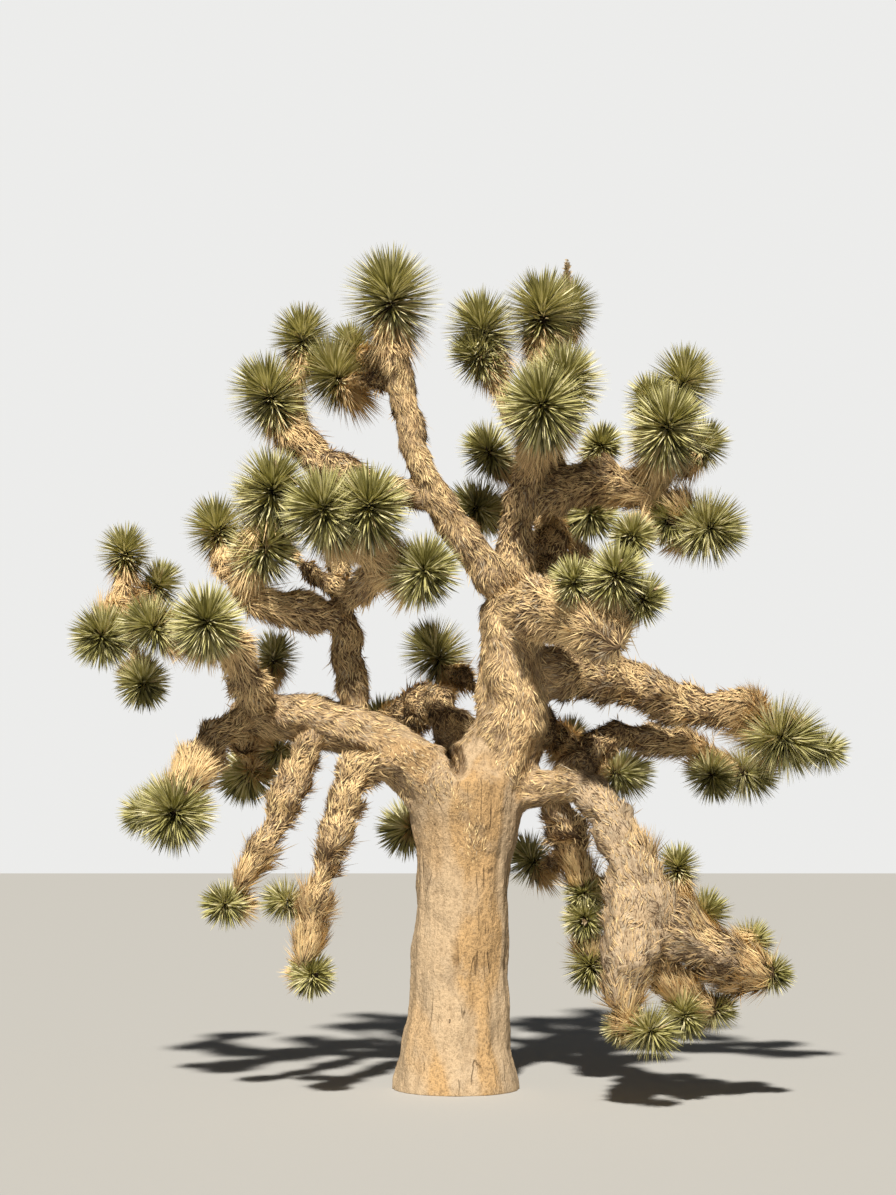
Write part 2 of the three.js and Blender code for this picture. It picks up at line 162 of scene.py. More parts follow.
class Solid:
    """A node's closed mesh, for asking how deep a point lies in it."""

    PROBE = Vector((0.31, 0.17, 0.94)).normalized()
    NUDGE = 1e-5
    RAYS, ENOUGH = 16, 12
    END_GIRTH = 0.7

    def __init__(self, node):
        self.mesh = frame["nodes"][node].data
        self.low, self.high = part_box(node)
        corners = [vertex.co for vertex in self.mesh.vertices]
        faces = [tuple(face.vertices) for face in self.mesh.polygons]
        self.tree = BVHTree.FromPolygons(corners, faces)

    def holds(self, point):
        """Counts the walls between the point and the outside."""
        start, walls = point, 0
        while True:
            place = self.tree.ray_cast(start, self.PROBE)[0]
            if place is None:
                return walls % 2 == 1
            start = place + self.PROBE * self.NUDGE
            walls += 1

    def near(self, point, margin):
        return all(self.low[k] - margin < point[k] < self.high[k] + margin for k in range(3))

    def depth(self, point):
        distance = self.tree.find_nearest(point)[3]
        return distance if self.holds(point) else -distance

    def deepest(self, pitch):
        """The deepest of a grid of points."""
        counts = [max(3, math.ceil(side / pitch)) for side in self.high - self.low]
        best = (0.0, None)
        for index in np.ndindex(*counts):
            shares = [(n + 0.5) / count for n, count in zip(index, counts)]
            point = Vector(a + (b - a) * s for a, b, s in zip(self.low, self.high, shares))
            best = max(best, (self.depth(point), point), key=lambda found: found[0])
        return best[1]

    def cut(self, point, heading):
        """The middle and the mean radius of the section across heading, or None outside."""
        side = heading.orthogonal().normalized()
        other = heading.cross(side)
        places = []
        for turn in np.linspace(0, 2 * math.pi, self.RAYS, endpoint=False):
            ray = side * math.cos(turn) + other * math.sin(turn)
            place = self.tree.ray_cast(point, ray)[0]
            if place is not None:
                places.append(place)
        if len(places) < self.ENOUGH:
            return None
        middle = sum(places, Vector()) / len(places)
        return middle, sum((place - middle).length for place in places) / len(places)

    def march(self, point, heading):
        """Stations from the point on, each in the middle of its section, to the end that way."""
        stations = []
        for _ in range(MOST_STATIONS):
            ahead = point + heading * MARCH
            section = self.cut(ahead, heading) if self.holds(ahead) else None
            if section is None:
                break
            middle, girth = section
            if not self.holds(middle):
                middle = ahead
            heading = (heading * 2 + (middle - point).normalized()).normalized()
            point = middle
            stations.append((point, girth))
        end = self.tree.ray_cast(point, heading)[0]
        if end is not None and stations:
            stations.append((end, stations[-1][1] * self.END_GIRTH))
        return stations


def even_directions(count):
    """Directions spread evenly over half a sphere."""
    for n in range(count):
        height = (n + 0.5) / count
        flat = math.sqrt(1 - height * height)
        yield Vector((flat * math.cos(GOLDEN_TURN * n), flat * math.sin(GOLDEN_TURN * n), height))


def unit(vectors):
    return vectors / np.maximum(np.linalg.norm(vectors, axis=-1, keepdims=True), 1e-9)


def dots(one, other):
    return np.sum(one * other, axis=1)


def tipped(ways, toward, angles):
    """The ways tipped toward others square to them, each by its own angle."""
    return ways * np.cos(angles)[:, None] + toward * np.sin(angles)[:, None]


def turned(vectors, axes, angles):
    """The vectors turned about the axes, each by its own angle."""
    lengthwise = axes * dots(axes, vectors)[:, None] * (1 - np.cos(angles)[:, None])
    return tipped(vectors, np.cross(axes, vectors), angles) + lengthwise


def around(axis, turns):
    """The ways square to an axis, at the given turns about it."""
    side = np.array(Vector(axis).orthogonal().normalized())
    return np.outer(np.cos(turns), side) + np.outer(np.sin(turns), np.cross(axis, side))


def smoothed(values, passes):
    for _ in range(passes):
        values = values.copy()
        values[1:-1] = (values[:-2] + 2 * values[1:-1] + values[2:]) / 4
    return values


def smoothstep(values, low, high):
    share = np.clip((values - low) / (high - low), 0, 1)
    return share * share * (3 - 2 * share)


class Line:
    """The middle line of a limb: places, headings and sides at even steps, and its girths.

    start is the way along the wood from the ground to its first station.
    """

    def __init__(self, name, points, girths, start, smoothing=4):
        points, girths = np.array(points, float), np.array(girths, float)
        walked = np.concatenate([[0], np.cumsum(np.linalg.norm(np.diff(points, axis=0), axis=1))])
        count = max(5, round(walked[-1] / STEP))
        self.name, self.start = name, start
        self.along = np.linspace(0, walked[-1], count)
        even = [np.interp(self.along, walked, points[:, axis]) for axis in range(3)]
        self.places = smoothed(np.column_stack(even), smoothing)
        self.girths = smoothed(np.interp(self.along, walked, girths), smoothing)
        self.headings = unit(np.gradient(self.places, axis=0))
        side = np.array(Vector(self.headings[0]).orthogonal().normalized())
        sides = []
        for heading in self.headings:
            side = side - heading * side.dot(heading)
            side = side / np.linalg.norm(side)
            sides.append(side)
        self.sides = np.array(sides)


def traced(node):
    """The stations of a limb from end to end, found both ways from its deepest point."""
    solid = Solid(node)
    start = solid.deepest(PITCH)
    sections = [(solid.cut(start, way), way) for way in even_directions(PROBES)]
    girth, heading = min(
        ((section[1], way) for section, way in sections if section), key=lambda found: found[0]
    )
    backward, forward = solid.march(start, -heading), solid.march(start, heading)
    return solid, backward[::-1] + [(start, girth)] + forward


def nearest_station(point, lines):
    """(gap, line, index) of the station whose bark is nearest to the point."""
    found = []
    for line in lines:
        gaps = np.linalg.norm(line.places - np.array(point), axis=1) - line.girths
        index = int(np.argmin(gaps))
        found.append((gaps[index], line, index))
    return min(found, key=lambda station: station[0])


def read_limbs():
    """The trunk's line and every limb's, each limb begun inside the one that carries it."""
    trunk = Solid(TRUNK)
    low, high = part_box(TRUNK)
    stations = trunk.march(Vector(((low[0] + high[0]) / 2, (low[1] + high[1]) / 2, low[2])), UP)
    foot = (Vector((0, 0, 0)), stations[0][1] * FOOT_FLARE)
    points, girths = zip(*[foot, *stations])
    lines, solids = [Line(TRUNK, points, girths, 0.0, smoothing=1)], {TRUNK: trunk}
    for node in LIMBS:
        solid, stations = traced(node)
        if nearest_station(stations[0][0], lines)[0] > nearest_station(stations[-1][0], lines)[0]:
            stations = stations[::-1]
        points, girths = zip(*stations)
        _, parent, index = nearest_station(points[0], lines)
        if parent.name == TRUNK:
            index = max(0, index - round(SUNK / STEP))
        inside = Vector(parent.places[index]).lerp(points[0], ROOTED)
        start = parent.start + parent.along[index] + SHAG_AHEAD.get(node, 0)
        lines.append(Line(node, [inside, *points], [girths[0], *girths], start))
        solids[node] = solid
    return lines, solids


class Head:
    """One head of leaves: its middle, reach and axis, and the stem that carries it."""

    def __init__(self, mass, centre, reach, axis):
        self.mass, self.centre, self.reach, self.axis = mass, centre, reach, axis
        self.stem = None


def fans(mesh):
    """The faces that meet at each corner, and the ways from it to its neighbours."""
    found = {}
    for face in mesh.polygons:
        corners = [mesh.vertices[index].co for index in face.vertices]
        for corner in corners:
            key = tuple(round(value, POINT_PLACES) for value in corner)
            edges = [other - corner for other in corners if (other - corner).length > 1e-4]
            if len(edges) == 2:
                found.setdefault(key, []).append((face, edges))
    return found


def ball_corners(mass, solid):
    """A guess at a head from each blunt corner, whose edges fall back and faces lean alike."""
    guesses = []
    for corner, fan in fans(solid.mesh).items():
        axis = sum((face.normal * edges[0].angle(edges[1]) for face, edges in fan), Vector())
        if len(fan) < FEWEST_FACES or axis.length < BLUNT:
            continue
        axis.normalize()
        lean = [face.normal.dot(axis) for face, _ in fan]
        rise = max(edge.normalized().dot(axis) for _, edges in fan for edge in edges)
        if rise > FALLING or min(lean) < LEAST_LEAN or max(lean) > MOST_LEAN:
            continue
        if max(lean) - min(lean) > LEANS_APART:
            continue
        reach = max(edge.length for _, edges in fan for edge in edges) / LONGEST_EDGE
        guesses.append(Head(mass, Vector(corner) - axis * CORNER_AWAY * reach, reach, axis))
    return guesses


def read_heads(mass, solid):
    """A head is a ball: where several corners point at one middle and give it about one radius."""
    guesses, heads = ball_corners(mass, solid), []
    while guesses:
        groups = [
            [
                other
                for other in guesses
                if (other.centre - head.centre).length < AGREEING * head.reach
                and abs(other.reach / head.reach - 1) < RADII_APART
            ]
            for head in guesses
        ]
        group = max(groups, key=len)
        if len(group) < LEAST_AGREEING:
            break
        centre = sum((head.centre for head in group), Vector()) / len(group)
        axis = sum((head.axis for head in group), Vector()) / len(group)
        reach = float(np.median([head.reach for head in group]))
        if axis.length < MOST_ONE_SIDED:
            heads.append(Head(mass, centre, reach, axis))
        guesses = [
            head
            for head in guesses
            if (head.centre - centre).length > TAKEN * max(reach, head.reach)
            and head not in group
        ]
    return heads


def grow_stems(heads, solid, lines, solids, rng):
    """Each stem leaves the station that sees most of the mass's heads from inside the wood."""
    limbs = [line for line in lines if line.name != TRUNK]
    stations = [
        (line, index)
        for line in limbs
        for index in range(0, len(line.places), 2)
        if solid.near(line.places[index], STEM_ROOM)
    ]
    woods = [solids[line.name] for line in limbs]

    def inside(point):
        return solid.holds(point) or any(
            wood.near(point, 0) and wood.holds(point) for wood in woods
        )

    def score(station):
        root = Vector(station[0].places[station[1]])
        ways = [head.centre - root for head in heads]
        seen = [all(inside(root + way * n / SIGHTS) for n in range(1, SIGHTS)) for way in ways]
        return -sum(seen), sum(way.length for way in ways)

    line, index = min(stations, key=score)
    root, girth = Vector(line.places[index]), line.girths[index]
    for n, head in enumerate(heads):
        way = head.centre - root
        head.axis = (head.axis + way.normalized() * STEM_PULL + SUNWARD * SUN_PULL).normalized()
        if head.axis.z > UPRIGHT:
            head.axis.y = min(head.axis.y, head.axis.y * LEANING)
            head.axis.normalize()
        sag = Vector(rng.normal(0, 1, 3)) * way.length * STEM_WANDER
        middle = root.lerp(head.centre, 0.5) + sag
        neck, tip = (head.centre + head.axis * head.reach * share for share in (NECK, TIP))
        points = [root, root.lerp(middle, 0.5), middle, neck, tip]
        thick = min(max(girth * 0.7, head.reach * LEAST_STEM), head.reach * MOST_STEM)
        girths = np.linspace(thick, thick * 0.6, len(points))
        start = line.start + line.along[index]
        head.stem = Line(f"{head.mass}_{n + 1}", points, girths, start)


def read_frame():
    """Every line of wood and every head of leaves in the frame."""
    rng = np.random.default_rng(SEEDS["stems"])
    lines, solids = read_limbs()
    heads = []
    for mass in MASSES:
        solid = Solid(mass)
        found = read_heads(mass, solid)
        grow_stems(found, solid, lines, solids, rng)
        heads.extend(found)
    return lines, heads


LINES, HEADS = read_frame()


# ---- Meshes


def placed(name, data):
    """A new object in the scene that shows a mesh, a light or a camera."""
    thing = bpy.data.objects.new(name, data)
    bpy.context.scene.collection.objects.link(thing)
    return thing


def placed_form(name, form):
    """A new object with the form's mesh; the form is used up."""
    mesh = bpy.data.meshes.new(name)
    form.to_mesh(mesh)
    form.free()
    return placed(name, mesh)


def mesh_object(name, vertices, faces, finishes=(), choice=None):
    """An object from arrays of corners and faces. choice picks each face's finish."""
    mesh = bpy.data.meshes.new(name)
    vertices, faces = np.asarray(vertices, np.float32), np.asarray(faces, np.int32)
    size = faces.shape[1]
    mesh.vertices.add(len(vertices))
    mesh.vertices.foreach_set("co", vertices.ravel())
    mesh.loops.add(faces.size)
    mesh.loops.foreach_set("vertex_index", faces.ravel())
    mesh.polygons.add(len(faces))
    mesh.polygons.foreach_set("loop_start", np.arange(0, faces.size, size, dtype=np.int32))
    mesh.update(calc_edges=True)
    if choice is not None:
        mesh.polygons.foreach_set("material_index", np.asarray(choice, np.int32))
    mesh.polygons.foreach_set("use_smooth", np.zeros(len(faces), bool))
    mesh.validate()
    for finish in finishes:
        mesh.materials.append(finish)
    return placed(name, mesh)


def finish_piece(piece, replaced=()):
    """Rides on the only body and stands for its nodes."""
    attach(piece, "root")
    if replaced:
        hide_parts(*replaced)


def tube(line, girths, sides, overrun=0.0):
    """Rings of corners round a line, drawn in to a blunt point at the far end."""
    places = [line.places[0] - line.headings[0] * overrun, *line.places]
    rings = list(zip(places, [0, *range(len(line.places))]))
    tip, last = line.places[-1], len(line.places) - 1
    shrink = [1.0] * len(rings)
    for rise in DOME:
        rings.append((tip + line.headings[last] * girths[last] * rise * 0.6, last))
        shrink.append(math.sqrt(max(1 - (rise / 0.8) ** 2, 0.02)))
    turns = np.linspace(0, 2 * math.pi, sides, endpoint=False)
    vertices = []
    for (place, index), share in zip(rings, shrink):
        side, heading = line.sides[index], line.headings[index]
        ring = np.outer(np.cos(turns), side) + np.outer(np.sin(turns), np.cross(heading, side))
        vertices.append(place + ring * girths[index] * share)
    corners = np.arange(len(rings) * sides).reshape(len(rings), sides)
    here, following = corners[:-1], corners[1:]
    quads = np.stack(
        [here, np.roll(here, -1, 1), np.roll(following, -1, 1), following], axis=-1
    ).reshape(-1, 4)
    return np.concatenate(vertices), quads, corners[0], corners[-1]


def crotch(one, other, room, depth):
    """An egg of air where two boughs part by the given room, longest from front to back."""
    for here in range(min(len(one.places), len(other.places))):
        way = other.places[here] - one.places[here]
        parted = np.linalg.norm(way) - one.girths[here] - other.girths[here]
        if parted > room:
            break
    middle = one.places[here] + unit(way) * (one.girths[here] + parted / 2)
    axis = unit(np.cross(way, UP))
    axis = axis if axis[1] < 0 else -axis
    form = bmesh.new()
    bmesh.ops.create_uvsphere(form, u_segments=32, v_segments=20, radius=1)
    turn = Vector(axis).to_track_quat("Z", "Y").to_matrix().to_4x4()
    size = Matrix.Diagonal((room * EGG[0], room * EGG[1], depth, 1))
    form.transform(Matrix.Translation(Vector(middle + axis * depth * 0.4)) @ turn @ size)
    return placed_form("crotch", form)


def welded(name, tubes, nodes, steps, hollow=None):
    """One skin round several tubes and nodes of the frame, less the hollow.

    It is drawn again at each of the steps: a mesh step and how often to smooth it.
    """
    form = bmesh.new()
    for node in nodes:
        form.from_mesh(frame["nodes"][node].data)
    for vertices, quads, first, final in tubes:
        corners = [form.verts.new(vertex) for vertex in vertices]
        for quad in quads:
            form.faces.new([corners[index] for index in quad])
        form.faces.new([corners[index] for index in first[::-1]])
        form.faces.new([corners[index] for index in final])
    body = placed_form(name + "_form", form)
    for n, (step, passes) in enumerate(steps):
        remesh = body.modifiers.new("Skin", "REMESH")
        remesh.mode = "VOXEL"
        remesh.voxel_size = step
        smooth = body.modifiers.new("Fillets", "SMOOTH")
        smooth.factor = 0.5
        smooth.iterations = passes
        if hollow and n == 0:
            cut = body.modifiers.new("Hollow", "BOOLEAN")
            cut.operation = "DIFFERENCE"
            cut.object = hollow
    bpy.context.view_layer.update()
    depsgraph = bpy.context.evaluated_depsgraph_get()
    skin = bpy.data.meshes.new_from_object(body.evaluated_get(depsgraph))
    skin.name = name
    for used in (body, hollow):
        if used:
            bpy.data.meshes.remove(used.data)
    return placed(name, skin)


def vectors_of(items, key):
    found = np.empty(len(items) * 3, np.float32)
    items.foreach_get(key, found)
    return found.reshape(-1, 3).astype(float)


def surface(mesh):
    """The place of each vertex and the outward way there."""
    return vectors_of(mesh.vertices, "co"), vectors_of(mesh.vertex_normals, "vector")


def straightened(points, lines):
    """Each point as if its limb were a straight post: across, across, and along from the ground.

    Also gives the limb's heading there and the way along the wood from the ground.
    """
    places = np.concatenate([line.places[::2] for line in lines])
    girths = np.concatenate([line.girths[::2] for line in lines])
    index = [np.arange(0, len(line.places), 2) for line in lines]
    owners = np.concatenate([np.full(len(own), n) for n, own in enumerate(index)])
    index = np.concatenate(index)
    best = np.empty(len(points), int)
    for block in np.array_split(np.arange(len(points)), max(1, len(points) // 1500)):
        away = np.linalg.norm(points[block, None, :] - places[None, :, :], axis=2)
        best[block] = np.argmin(away - girths[None, :], axis=1)
    owner, station = owners[best], index[best]
    post, walked = np.empty((len(points), 3)), np.empty(len(points))
    headings = np.empty((len(points), 3))
    for n, line in enumerate(lines):
        mine = owner == n
        own = station[mine]
        out = points[mine] - line.places[own]
        side, headings[mine] = line.sides[own], line.headings[own]
        other = np.cross(headings[mine], side)
        walked[mine] = line.start + (dots(out, headings[mine]) + line.along[own])
        post[mine] = np.column_stack([dots(out, side), dots(out, other), walked[mine]])
    return post, headings, walked


def noise_of(points, scale):
    """Smooth noise at each point, between -1 and 1; scale is how many swings it has in a metre."""
    return np.array([noise.noise(Vector(point)) for point in points * scale])


def store(mesh, name, values, kind="FLOAT"):
    """Keeps a value or a vector at each vertex, for a finish to read."""
    attribute = mesh.attributes.new(name, kind, "POINT")
    key = "vector" if kind == "FLOAT_VECTOR" else "value"
    attribute.data.foreach_set(key, np.asarray(values, np.float32).ravel())


# ---- Finishes


class Wire:
    """An output among nodes. Sums, differences and products of wires add Math nodes."""

    def __init__(self, network, socket):
        self.network, self.socket = network, socket

    def maths(self, operation, *values):
        return self.network.node(
            "ShaderNodeMath", {"operation": operation}, dict(enumerate(values))
        )

    def __add__(self, other):
        return self.maths("ADD", self, other)

    def __sub__(self, other):
        return self.maths("SUBTRACT", self, other)

    def __rsub__(self, other):
        return self.maths("SUBTRACT", other, self)

    def __mul__(self, other):
        return self.maths("MULTIPLY", self, other)

    __radd__ = __add__
    __rmul__ = __mul__

    def __abs__(self):
        return self.maths("ABSOLUTE", self)

    def between(self, low, high):
        """0 below low, 1 above high and smooth between; low may be the higher one."""
        values = {"Value": self, "From Min": low, "From Max": high}
        settings = {"interpolation_type": "SMOOTHSTEP"}
        return self.network.node("ShaderNodeMapRange", settings, values)

    def scaled(self, scale):
        """A vector times another, part by part."""
        settings = {"operation": "MULTIPLY"}
        return self.network.node("ShaderNodeVectorMath", settings, {0: self, 1: scale})

    def noise(self, scale, detail=3.0, roughness=0.55):
        values = {"Vector": self, "Scale": scale, "Detail": detail, "Roughness": roughness}
        return self.network.node("ShaderNodeTexNoise", {}, values)


class Network:
    """The nodes of a material or a world, and one way of adding to them."""

    def __init__(self, owner):
        owner.use_nodes = True
        self.tree = owner.node_tree

    def fill(self, node, values):
        """Links or sets a node's sockets."""
        for key, value in values.items():
            socket = node.inputs[key]
            if isinstance(value, Wire):
                self.tree.links.new(value.socket, socket)
            else:
                socket.default_value = (*value, 1) if socket.type == "RGBA" else value

    def node(self, kind, settings, values, output=0):
        node = self.tree.nodes.new(kind)
        for name, value in settings.items():
            setattr(node, name, value)
        self.fill(node, values)
        return Wire(self, node.outputs[output])


class Finish(Network):
    """A material with a Principled shader."""

    def __init__(self, name, sockets):
        self.material = bpy.data.materials.new(name)
        super().__init__(self.material)
        self.set(sockets)

    def set(self, sockets):
        self.fill(self.tree.nodes["Principled BSDF"], sockets)

    def attribute(self, name, output):
        return self.node("ShaderNodeAttribute", {"attribute_name": name}, {}, output)

    def mix(self, factor, one, other):
        settings = {"data_type": "RGBA"}
        return self.node("ShaderNodeMix", settings, {0: factor, 6: one, 7: other}, 2)


def bark_finish(colours):
    """Sandy corky bark with an ochre band, faint fibres, long wandering cracks and a few pits, and
    painted shade under the dead leaves, in the furrows and in the hearts of the heads.
    """
    finish = Finish("corky_bark", {"Specular IOR Level": 0.2})
    place = finish.node("ShaderNodeTexCoord", {}, {}, "Object")
    post = finish.attribute("post", "Vector")
    names = ("crevice", "shag", "shaded", "ochre", "worn", "heart")
    depth, shag, shaded, ochre, worn, heart = (finish.attribute(name, "Fac") for name in names)
    grain = place.noise(125.0, 2.0, 0.7)
    speckle = place.scaled((72.0, 72.0, 52.0)).noise(1.0, 2.0, 0.6)
    fibres = post.scaled((95.0, 95.0, 14.0)).noise(1.0, 4.0, 0.65)
    mottle = place.scaled((9.0, 9.0, 6.0)).noise(1.0, 5.0, 0.65)
    broken = place.noise(4.5, 2.0).between(0.50, 0.64)
    wander = post.scaled((9.0, 9.0, 1.1)).noise(1.0, 1.0, 0.4)
    cracks = abs(wander - 0.5).between(0.013, 0.0) * broken
    pits = (place.scaled((14.0, 14.0, 9.0)).noise(1.0, 3.0, 0.6) + worn * 0.09).between(0.75, 0.79)
    coarse = ochre * 0.4 + 0.6
    skin = finish.mix(ochre, colours.pale_bark, colours.ochre_bark)
    for share, colour in (
        (mottle.between(0.48, 0.66) * 0.5, colours.grey_bark),
        (shaded, colours.shaded_bark),
        (worn, colours.grey_bark),
        (worn * mottle.between(0.46, 0.6) * 0.8, colours.pale_bark),
        (speckle.between(0.50, 0.38) * coarse * 0.45, colours.shaded_bark),
        (grain.between(0.48, 0.36) * coarse * 0.4, colours.crevice),
        (fibres.between(0.5, 0.34) * (shag * 0.6 + 0.16), colours.crevice),
        (cracks * 0.55, colours.crevice),
        # painted shade: darker in the bottoms of the furrows and where the flakes sink in
        (depth * 0.35, colours.crevice),
        (pits * 0.85, colours.pit),
        # painted shade: the stems in the heads' hearts go as dark as the pits
        (heart, colours.pit),
    ):
        skin = finish.mix(share, skin, colour)
    height = grain * 0.5 + speckle + fibres * 0.3 - cracks - pits
    bump = finish.node("ShaderNodeBump", {}, {"Height": height, "Strength": 0.9, "Distance": 0.009})
    finish.set({"Base Color": skin, "Normal": bump, "Roughness": 0.82 + fibres * 0.16})
    return finish.material


def leaf_finishes(settings, names, roughness, specular):
    """The named colours as plain finishes, which are dealt out leaf by leaf."""
    look = {"Roughness": roughness, "Specular IOR Level": specular}
    finishes = [Finish(name, {"Base Color": getattr(settings, name), **look}) for name in names]
    return [finish.material for finish in finishes]


# ---- Settings


def setting(kind, **fixed):
    """A maker of one kind of setting, which takes a name, a description and a default."""

    def make(name, description, default):
        return kind(name=name, description=description, default=default, **fixed)

    return make


metres = setting(bpy.props.FloatProperty, min=0.0, unit="LENGTH")
number = setting(bpy.props.FloatProperty, min=0.0)
tint = setting(bpy.props.FloatVectorProperty, size=3, subtype="COLOR", min=0, max=1)
angle = setting(bpy.props.FloatProperty, subtype="ANGLE")


def degrees(name, description, default):
    """An angle whose default is given in degrees."""
    return angle(name, description, math.radians(default))


class BarkSettings(bpy.types.PropertyGroup):
    """Relief and colours of the bark."""

    trunk_grain: metres("Trunk grain", "Mesh step on trunk and bare boughs", 0.0115)
    arm_grain: metres("Arm grain", "Mesh step on the shaggy arms", 0.018)
    lumps: metres("Lumps", "How far the slow swellings stand out", 0.026)
    knobs: metres("Knobs", "How far the shaggy arms swell where they once forked", 0.058)
    collars: metres("Collars", "How far a layer of dead leaves stands over the last", 0.035)
    collar_gap: metres("Collar gap", "Way along an arm from layer to layer", 0.26)
    crotch: metres("Crotch", "How far the two boughs part in their crotch", 0.13)
    furrows: metres("Furrows", "Depth of the long furrows", 0.012)
    flakes: metres("Flakes", "How far the small flakes stand out", 0.005)
    ochre_turn: degrees("Ochre turn", "How far right of the front the ochre band runs", 20)
    shag_from: metres("Shag from", "Way along the wood where dead leaves begin", 2.1)
    shag_full: metres("Shag full", "Way along the wood where they cover it", 2.75)
    felt_from: metres("Felt from", "Way up the trunk where flat dead leaves begin", 1.62)
    core: number("Core", "Share of a shaggy arm's girth that is wood", 0.94)
    pale_bark: tint("Pale bark", "The weathered plates", (0.60, 0.445, 0.28))
    ochre_bark: tint("Ochre bark", "The warmer band", (0.58, 0.375, 0.18))
    grey_bark: tint("Grey bark", "The greyer patches", (0.48, 0.37, 0.25))
    shaded_bark: tint("Shaded bark", "Wood under the dead leaves", (0.13, 0.085, 0.047))
    crevice: tint("Crevice", "The bottoms of cracks and furrows", (0.16, 0.095, 0.045))
    pit: tint("Pit", "The dark pits", (0.05, 0.033, 0.02))


class ThatchSettings(bpy.types.PropertyGroup):
    """Sizes and colours of the dead leaves."""

    patch: number("Patch", "Square centimetres of bark to each dead leaf", 1.02)
    long: metres("Long", "Length of the dead leaves next to a head", 0.135)
    short: metres("Short", "Length of the dead leaves far from a head", 0.05)
    stubble: metres("Stubble", "Length of the broken leaves on old hanging wood", 0.045)
    width: metres("Width", "Width of a dead leaf", 0.0072)
    skirt_count: number("Skirt", "Dead leaves under a head of half a metre", 420)
    pale_straw: tint("Pale straw", "The newest dead leaves", (0.90, 0.69, 0.36))
    straw: tint("Straw", "Dead leaves in their first years", (0.70, 0.50, 0.26))
    tan_straw: tint("Tan", "Older dead leaves", (0.54, 0.38, 0.20))
    brown_straw: tint("Brown", "Old dead leaves", (0.31, 0.21, 0.12))
    grey_straw: tint("Grey", "Weathered dead leaves", (0.52, 0.43, 0.30))
    # Painted shade on the dead leaves that lie flat underneath
    deep_straw: tint("Shade", "The dark dead leaves underneath", (0.13, 0.085, 0.05))


class LeafSettings(bpy.types.PropertyGroup):
    """Sizes and colours of the green leaves, and the colour of the dried flowers."""

    count: number("Leaves", "Leaves in a head of half a metre", 920)
    width: metres("Width", "Width of a leaf", 0.0155)
    spread: metres("Spread", "How far the leaves reach past their head", 0.018)
    lowest: degrees("Lowest", "How far the lowest green leaves turn back", 145)
    deep_olive: tint("Deep olive", "The youngest leaves", (0.22, 0.205, 0.065))
    olive: tint("Olive", "Young leaves", (0.34, 0.315, 0.105))
    yellow_green: tint("Yellow green", "Grown leaves", (0.50, 0.465, 0.19))
    light_green: tint("Light green", "Older leaves", (0.68, 0.63, 0.32))
    pale_green: tint("Pale green", "The oldest green leaves", (0.86, 0.79, 0.49))
    dry_leaf: tint("Dry", "Leaves that are turning", (0.66, 0.52, 0.29))
    # Painted shade on some of the leaves that point down under a head
    dark_leaf: tint("Dark", "Leaves grown out of the sun", (0.11, 0.105, 0.045))
    dry_flowers: tint("Dry flowers", "The dried flower stalks", (0.56, 0.45, 0.30))


class StageSettings(bpy.types.PropertyGroup):
    """The camera, the lights and the floor."""

    camera_away: metres("Away", "Distance from the tree to the camera", 12.0)
    camera_height: metres("Height", "Height of the camera", 1.5)
    camera_left: metres("Left", "How far left of the trunk's foot the camera stands", 0.05)
    camera_pitch: degrees("Pitch", "How far the camera looks up", 6.66)
    camera_lens: number("Lens", "Focal length in millimetres", 60.25)
    sun_power: number("Key light", "Strength of the key light", 5.7)
    sun_turn: degrees("Key turn", "Angle of the key light left of the camera", 7)
    sun_height: degrees("Key height", "Angle of the key light above the floor", 48)
    sun_size: degrees("Key size", "How wide the key light looks", 3)
    fill: number("Fill", "Brightness of the studio", 0.07)
    sun_colour: tint("Key colour", "The key light's colour", (1.0, 0.95, 0.86))
    fill_colour: tint("Fill colour", "The studio light's colour", (0.93, 0.96, 1.0))
    floor: tint("Floor", "The floor's colour", (0.46, 0.457, 0.445))
    paper: tint("Paper", "The pale backdrop", (0.84, 0.84, 0.83))


# ---- Leaves


def blades(bases, ways, upward, lengths, widths, bend, keel):
    """Dagger leaves: widest a third of the way up, with a long point. With no keel, flat kites."""
    across = unit(np.cross(ways, upward))
    upward = np.cross(across, ways)

    def row(share, width, sink):
        lift = bend * lengths * share * share - sink * widths
        middle = bases + ways * (lengths * share)[:, None] + upward * lift[:, None]
        return middle, across * (widths * width / 2)[:, None]

    foot, foot_half = row(0.0, FOOT, 0.0)
    belly, belly_half = row(BELLY, 1.0, 0.0)
    tip, _ = row(1.0, 0.0, 0.0)
    if keel:
        ridge, _ = row(BELLY, 0.0, keel)
        corners = [foot - foot_half, foot + foot_half]
        corners += [belly - belly_half, ridge, belly + belly_half, tip]
    else:
        corners = [foot, belly - belly_half, belly + belly_half, tip]
    pattern = FOLDED if keel else FLAT
    vertices = np.stack(corners, axis=1)
    starts = np.arange(len(bases)) * len(corners)
    faces = starts[:, None, None] + pattern[None, :, :]
    return vertices.reshape(-1, 3), faces.reshape(-1, 3), len(pattern)


def split_blades(blade_set, choices, parts):
    """The same leaves in equal parts from left to right."""
    vertices, faces, each = blade_set
    leaves = vertices.reshape(len(choices), -1, 3)
    for chosen in np.array_split(np.argsort(leaves[:, 0, 0]), parts):
        pattern = faces[:each] + (np.arange(len(chosen)) * leaves.shape[1])[:, None, None]
        yield (leaves[chosen].reshape(-1, 3), pattern.reshape(-1, 3), each), choices[chosen]


def leaf_piece(name, finishes, lots, replaced=()):
    """One piece of leaves from many lots, each with the shades of its leaves."""
    vertices, faces, choices, total = [], [], [], 0
    for (corners, triangles, each), shades in lots:
        vertices.append(corners)
        faces.append(triangles + total)
        choices.append(np.repeat(shades, each))
        total += len(corners)
    vertices, faces, choices = map(np.concatenate, (vertices, faces, choices))
    finish_piece(mesh_object(name, vertices, faces, finishes, choices), replaced)


def shag_share(walked, settings):
    return smoothstep(walked, settings.shag_from, settings.shag_full)


def aways(places):
    """Each head's reach, with the distance from its middle to each place."""
    for head in HEADS:
        yield head.reach, np.linalg.norm(places - np.array(head.centre), axis=1)


